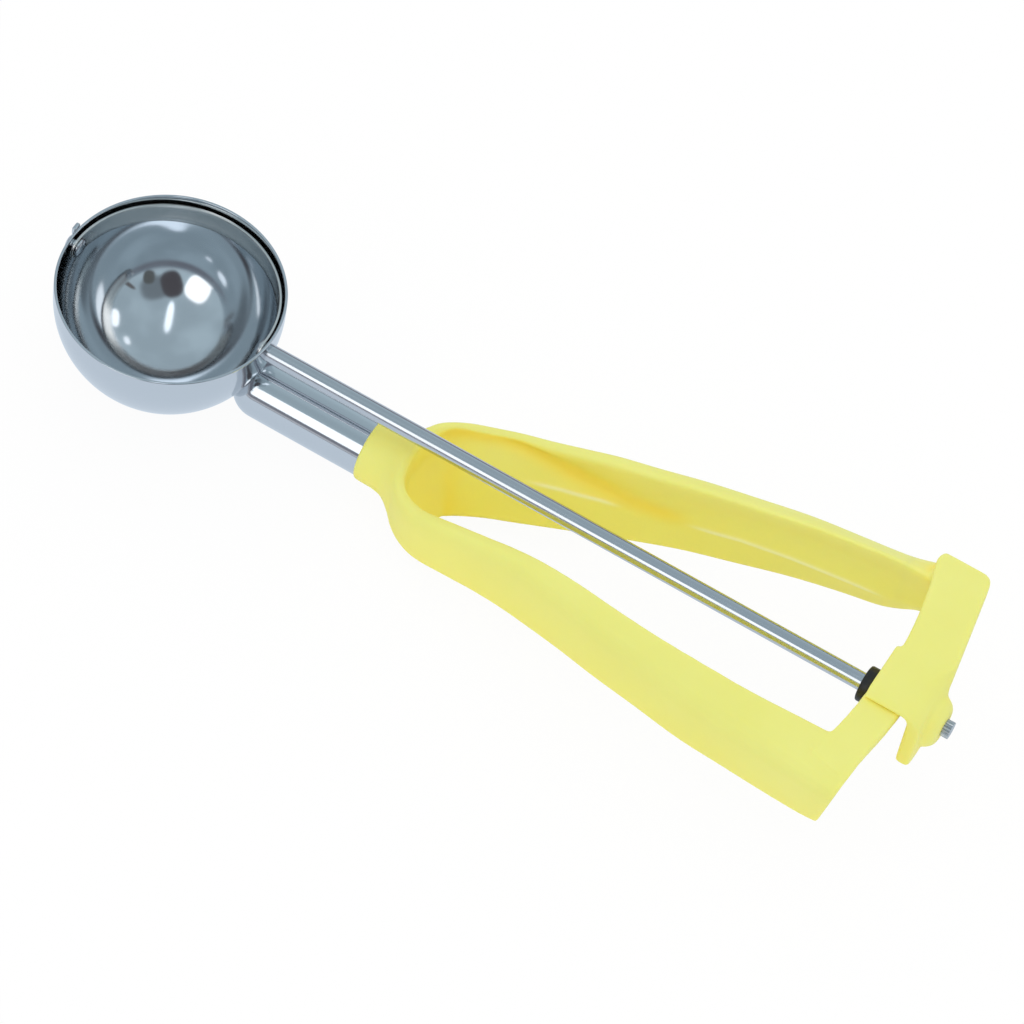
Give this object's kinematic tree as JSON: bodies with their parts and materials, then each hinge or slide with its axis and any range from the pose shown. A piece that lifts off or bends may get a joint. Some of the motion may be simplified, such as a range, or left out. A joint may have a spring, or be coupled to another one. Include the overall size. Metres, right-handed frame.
{
  "type": "lever ice cream scoop",
  "caption": "Squeeze-handle scoop: a round steel bowl with a curved scraper blade that a geared lever sweeps through it to release the scooped ball.",
  "frame": {"origin": "centre of the bowl's sphere, on the axis of the blade rod", "axes": "+X along the rod from the bowl to the handle's rear, +Z out of the bowl's mouth, +Y towards the arm that carries the gear housing"},
  "size_m": [0.2419, 0.0738, 0.0378],
  "materials": {
    "polished_steel": "polished stainless",
    "drawn_steel": "drawn bright",
    "zinc": "dull cast zinc",
    "yellow_plastic": "satin moulded",
    "black_plastic": "satin moulded"
  },
  "bodies": {
    "frame": {"bowl": "polished_steel", "shank_tube": "polished_steel", "pivot_rivet": "polished_steel", "handle_back_arm": "yellow_plastic", "gear_housing": "yellow_plastic"},
    "front_lever": {"handle_front_arm": "yellow_plastic"},
    "gear_rod": {"rod": "drawn_steel", "pinion": "zinc", "thrust_ring": "black_plastic", "blade": "polished_steel", "blade_rivet": "drawn_steel"}
  },
  "joints": [
    {"name": "squeeze", "type": "hinge", "parent": "frame", "child": "front_lever", "pos_m": [0.075, 0, 0], "axis": [0, 0, 1], "range_deg": [0, 6], "stiffness_Nm_per_rad": 10, "springref_deg": -1.72},
    {"name": "rod_spin", "type": "hinge", "parent": "frame", "child": "gear_rod", "pos_m": [0, 0, 0], "axis": [1, 0, 0], "range_deg": [-165, 0]}
  ],
  "couplings": [
    {"joint": "rod_spin", "follows": "squeeze", "ratio": -27.144}
  ]
}
